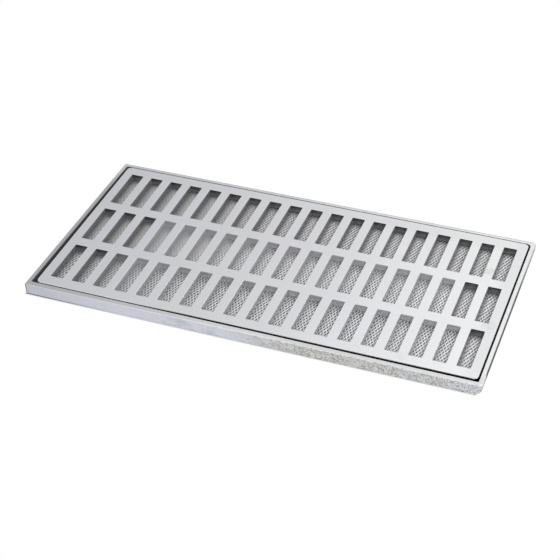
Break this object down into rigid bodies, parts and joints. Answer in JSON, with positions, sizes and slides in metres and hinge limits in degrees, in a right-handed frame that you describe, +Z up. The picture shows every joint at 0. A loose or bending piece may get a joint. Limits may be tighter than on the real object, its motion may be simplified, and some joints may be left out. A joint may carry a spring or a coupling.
{
  "type": "rectangular drain grate",
  "caption": "Flat rectangular drain grate in cast aluminium: a plate with rows of long slots set in a thin cast frame, over a fine expanded-metal screen.",
  "frame": {"origin": "centre of the frame's outline, on the surface that the frame stands on", "axes": "+X along the grate's length, +Y across it away from the viewer, +Z up out of the drain"},
  "size_m": [0.4014, 0.2012, 0.0106],
  "materials": {
    "cast_frame": "satin on the rim, with a rough sand-cast skin on the outside",
    "ground_plate": "ground flat to a soft satin, with faint handling smudges",
    "expanded_screen": "bare mill finish, dulled"
  },
  "bodies": {
    "root": {"frame": "cast_frame", "grate_plate": "ground_plate", "mesh_screen": "expanded_screen"}
  },
  "joints": []
}
